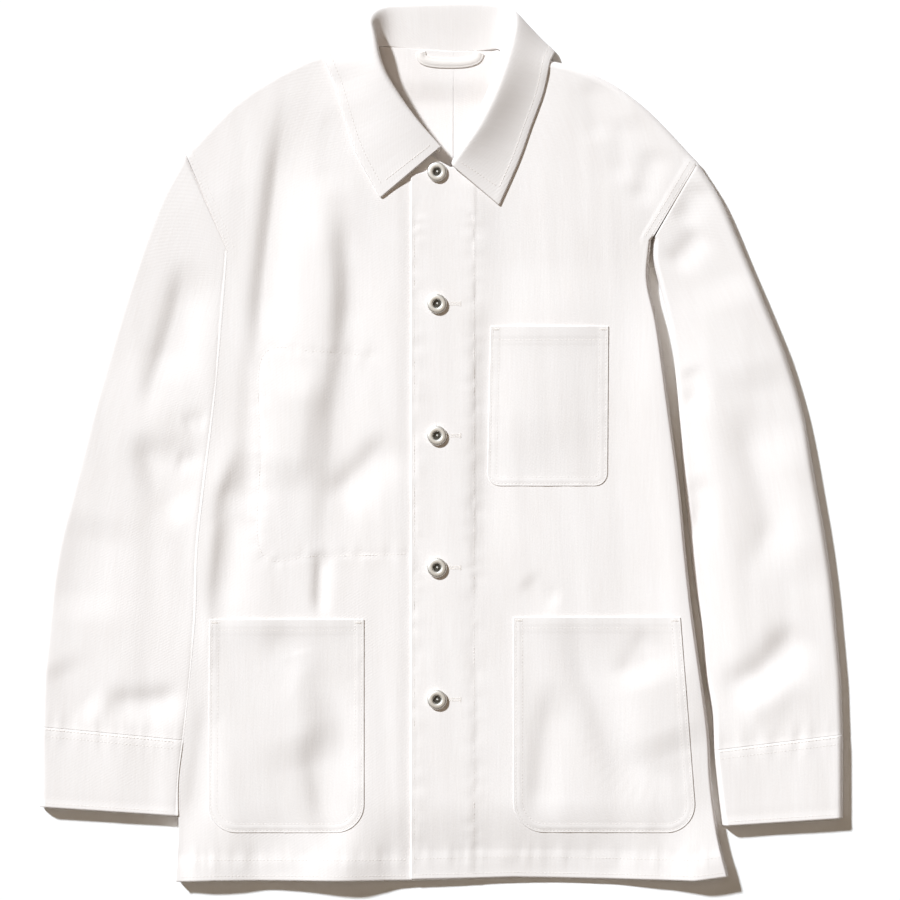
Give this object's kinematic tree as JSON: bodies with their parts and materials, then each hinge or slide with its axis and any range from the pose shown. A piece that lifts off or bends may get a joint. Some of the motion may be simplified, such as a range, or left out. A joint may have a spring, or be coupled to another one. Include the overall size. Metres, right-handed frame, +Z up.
{
  "type": "denim jacket",
  "caption": "Off-white denim chore jacket with a turned-down collar, patch pockets and tack buttons, laid flat on its back with the front done up.",
  "frame": {"origin": "middle of the jacket's box, on the surface that it lies on", "axes": "+Y from the hem to the collar, +X to the wearer's left, +Z up out of the jacket's front"},
  "size_m": [0.708, 0.7733, 0.0292],
  "materials": {
    "white_denim": "off-white cotton twill, washed, matt with a soft nap",
    "pocket_denim": "the same twill, cut on the straight grain",
    "loop_tape": "folded cotton twill strip",
    "nickel": "tumbled nickel plate with a dark hollow in the middle"
  },
  "bodies": {
    "root": {"back_left": "white_denim", "back_right": "white_denim", "front_left": "white_denim", "front_right": "white_denim", "sleeve_left_upper": "white_denim", "sleeve_left_under": "white_denim", "sleeve_right_upper": "white_denim", "sleeve_right_under": "white_denim", "cuff_left": "white_denim", "cuff_right": "white_denim", "collar": "white_denim", "chest_pocket": "pocket_denim", "lower_pocket_left": "pocket_denim", "lower_pocket_right": "pocket_denim", "hanger_loop": "loop_tape", "button_1": "nickel", "button_2": "nickel", "button_3": "nickel", "button_4": "nickel", "button_5": "nickel"}
  },
  "joints": []
}
